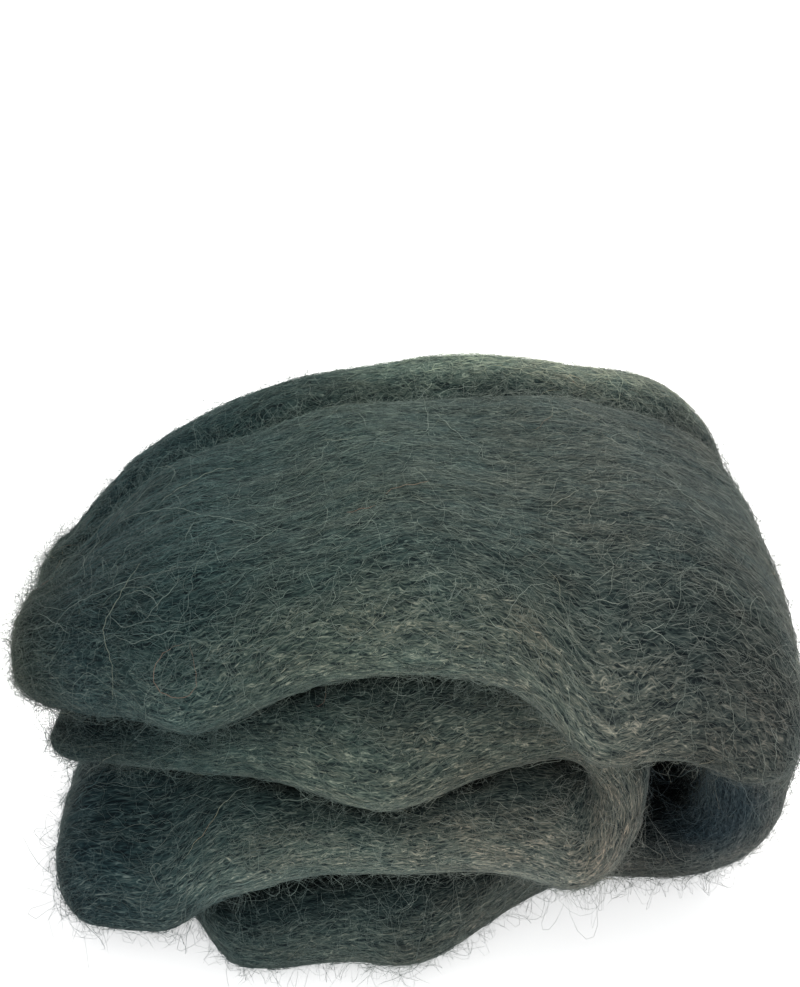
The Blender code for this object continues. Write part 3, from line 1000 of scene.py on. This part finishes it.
# the strand's girth is rolled into a cylinder, so that a pattern on it has no seam
radius = girth / mm / (2 * math.pi)
roll = (np.arange(ring) * 2 * math.pi / ring)[None, :]
unrolled = np.broadcast_arrays(distance / mm, radius * np.cos(roll), radius * np.sin(roll))
strandSpace = np.stack(unrolled, axis=-1)
mesh = bpy.data.meshes.new("rovingStrand")
mesh.from_pydata(points.reshape(-1, 3).tolist(), [], strandFaces(rows, ring))
fillAttribute(mesh, "strandSpace", "FLOAT_VECTOR", strandSpace)
fillAttribute(mesh, "open", "FLOAT", open_)
fillAttribute(mesh, "rim", "FLOAT", rim)
hank = addPiece("rovingStrand", mesh, makeStrandMaterial(strandFinish, woolFinish, radius))
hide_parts(hankNode)
print("strand done:", rows, "by", ring)

# the kinds of fibre, in millimetres and radians, each as pieces with names and seeds
# stray is how far a fibre heads off the strand's run, curl its turning, bob its waves up and down, lift how
# far its loop or free end stands off, and clearing how much more open it counts than the wool below it
combed = {
    "pieces": (("combedFibres1", 21), ("combedFibres2", 22)),
    "count": 5600, "steps": 6, "length": (2.6, 6.2), "radius": (0.040, 0.068), "tone": (2.6, 2.0),
    "stray": 0.26, "curl": 0.18, "crimp": (0.12, 0.34), "crimpLength": (3.0, 5.0),
    "height": (0.02, 0.22), "bob": (0.02, 0.14), "lift": 0.10, "liftShape": 1.0, "liftMost": 0.6,
    "loops": 0.8, "droop": 0.0, "flatShare": 1.0, "topShare": 0.45,
}
shortFuzz = {
    "pieces": (("shortFuzz1", 41), ("shortFuzz2", 42)),
    "count": 14600, "steps": 4, "length": (1.8, 5.0), "radius": (0.018, 0.034), "tone": (1.8, 3.0),
    "stray": 1.2, "curl": 0.42, "crimp": (0.05, 0.30), "crimpLength": (6.0, 9.0),
    "height": (-0.05, 0.1), "bob": (0.0, 0.1), "lift": 1.25, "liftShape": 1.4, "liftMost": 5.0,
    "loops": 0.25, "droop": 0.05, "flatShare": 0.10,
}
longFuzz = {
    "pieces": (("longFuzz", 51),),
    "count": 5000, "steps": 8, "length": (5, 12), "radius": (0.020, 0.038), "tone": (1.7, 3.0),
    "stray": 1.0, "curl": 0.36, "crimp": (0.05, 0.35), "crimpLength": (3.4, 6.5),
    "height": (-0.05, 0.1), "bob": (0.0, 0.15), "lift": 2.1, "liftShape": 1.5, "liftMost": 9.0,
    "loops": 0.4, "droop": 0.1, "flatShare": 0.2,
}
strays = {
    "pieces": (("strayFibres", 61),),
    "count": 860, "steps": 20, "length": (8, 24), "radius": (0.026, 0.046), "tone": (2.0, 2.2),
    "stray": 0.75, "curl": 0.17, "crimp": (0.10, 0.40), "crimpLength": (3.4, 7.0),
    "height": (0.05, 0.3), "bob": (0.05, 0.25), "lift": 0.5, "liftShape": 1.4, "liftMost": 7.0,
    "loops": 0.7, "droop": 0.2, "clearing": 0.1, "flatShare": 0.7, "endShare": 0.75,
}
combedStops = ((0.0, "deep"), (0.25, "mid"), (0.65, "pale"), (1.0, "bright"))
looseStops = ((0.0, "mid"), (0.4, "pale"), (0.88, "bright"), (0.95, "straw"), (1.0, "rust"))
combedMaterial = makeFibreMaterial("combedFibre", combedStops, woolFinish, 0.90)
looseMaterial = makeFibreMaterial("looseFibre", looseStops, woolFinish, 0.70)
strayMaterial = makeFibreMaterial("strayFibre", looseStops, woolFinish, 0.40)
field = fibreField(points, (normals, along, around), distance, (near, open_), fieldSpec)
for spec, material in ((combed, combedMaterial), (shortFuzz, looseMaterial),
                       (longFuzz, looseMaterial), (strays, strayMaterial)):
    for name, seed in spec["pieces"]:
        woolFibres(name, seed, spec, field, material)
        print(name, "done")
hairsFromPhoto("singleHairs", singleHairs, cameraView, points, strayMaterial)
print("single hairs done")
